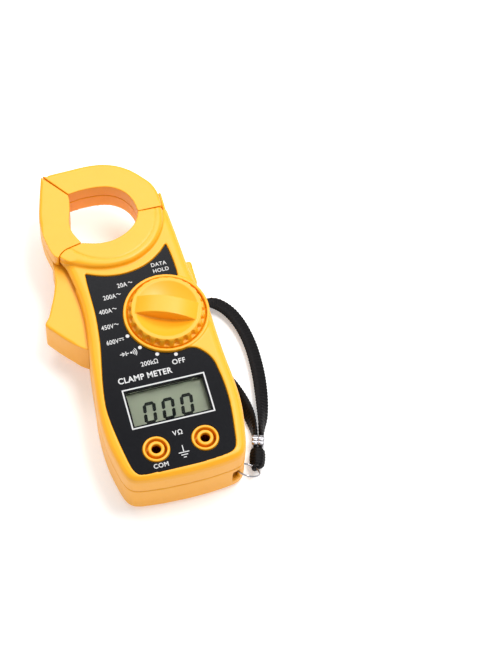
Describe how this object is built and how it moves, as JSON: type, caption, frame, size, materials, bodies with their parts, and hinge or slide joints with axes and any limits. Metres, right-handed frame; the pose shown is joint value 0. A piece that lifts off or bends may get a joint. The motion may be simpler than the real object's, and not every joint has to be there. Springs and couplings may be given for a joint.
{
  "type": "clamp meter",
  "caption": "Hand-held clamp meter with a sprung hinged jaw and trigger, a rotary range switch, a display, two test lead sockets, a hold key and a wrist strap.",
  "frame": {"origin": "on the flat back of the case, on its centre line, half way along the meter", "axes": "+Z out of the front face, +Y towards the jaws, +X to the right as seen from the front"},
  "size_m": [0.0881, 0.1523, 0.038],
  "materials": {
    "case_plastic": "satin moulded plastic, warm yellow-orange",
    "label": "satin black printed panel",
    "clear_window": "clear acrylic",
    "display": "grey-green reflective display",
    "black_plastic": "matt black",
    "white_nylon": "natural nylon",
    "steel": "nickel-plated steel",
    "core_iron": "laminated silicon steel",
    "brass": "bright brass",
    "copper": "enamelled copper wire",
    "circuit_board": "green solder mask",
    "blue_parts": "blue coated electronic parts",
    "battery_wrap": "printed battery sleeve",
    "black_braid": "black woven braid"
  },
  "bodies": {
    "case": {"front_case": "case_plastic", "back_case": "case_plastic", "battery_door": "case_plastic", "battery_door_screw": "steel", "case_screw_1": "steel", "case_screw_2": "steel", "case_screw_3": "steel", "label_panel": "label", "lcd_window": "clear_window", "lcd_glass": "display", "lcd_holder": "white_nylon", "zebra_strip": "black_plastic", "fixed_jaw_front": "case_plastic", "fixed_jaw_back": "case_plastic", "fixed_core": "core_iron", "coil_bobbin": "white_nylon", "coil_winding": "copper", "jaw_pivot_pin": "steel", "jaw_spring": "steel", "pcb": "circuit_board", "main_chip": "black_plastic", "buzzer": "black_plastic", "electrolytic_cap": "blue_parts", "thermistor": "blue_parts", "trimmer": "blue_parts", "com_jack_sleeve": "brass", "volt_ohm_jack_sleeve": "brass", "battery_1": "battery_wrap", "battery_2": "battery_wrap", "battery_plus_contact_1": "steel", "battery_plus_contact_2": "steel", "battery_spring_1": "steel", "battery_spring_2": "steel", "hold_switch": "black_plastic"},
    "moving_jaw": {"moving_jaw_front": "case_plastic", "moving_jaw_trigger": "case_plastic", "moving_core": "core_iron"},
    "range_switch": {"range_knob": "case_plastic", "wiper_carrier": "white_nylon", "wiper_contact": "brass", "detent_ball": "steel"},
    "hold_key": {"hold_button": "case_plastic", "hold_switch_stem": "white_nylon"},
    "strap": {"strap_ring": "steel", "strap_knot": "black_braid", "strap_ferrule": "steel", "wrist_strap": "black_braid"}
  },
  "joints": [
    {"name": "jaw_hinge", "type": "hinge", "parent": "case", "child": "moving_jaw", "pos_m": [-0.022, 0.0295, 0], "axis": [0, 0, 1], "range_deg": [0, 28], "stiffness_Nm_per_rad": 0.3, "springref_deg": -20.05},
    {"name": "range_turn", "type": "hinge", "parent": "case", "child": "range_switch", "pos_m": [0.00945, -0.00215, 0], "axis": [0, 0, 1], "range_deg": [-46, 115]},
    {"name": "hold_press", "type": "slide", "parent": "case", "child": "hold_key", "axis": [-1, 0, 0], "range_m": [0, 0.0008], "stiffness_N_per_m": 800, "springref_m": -0.0006},
    {"name": "strap_swing", "type": "hinge", "parent": "case", "child": "strap", "pos_m": [0.0234, -0.071, 0], "axis": [0, 0, 1], "range_deg": [-40, 0]}
  ]
}
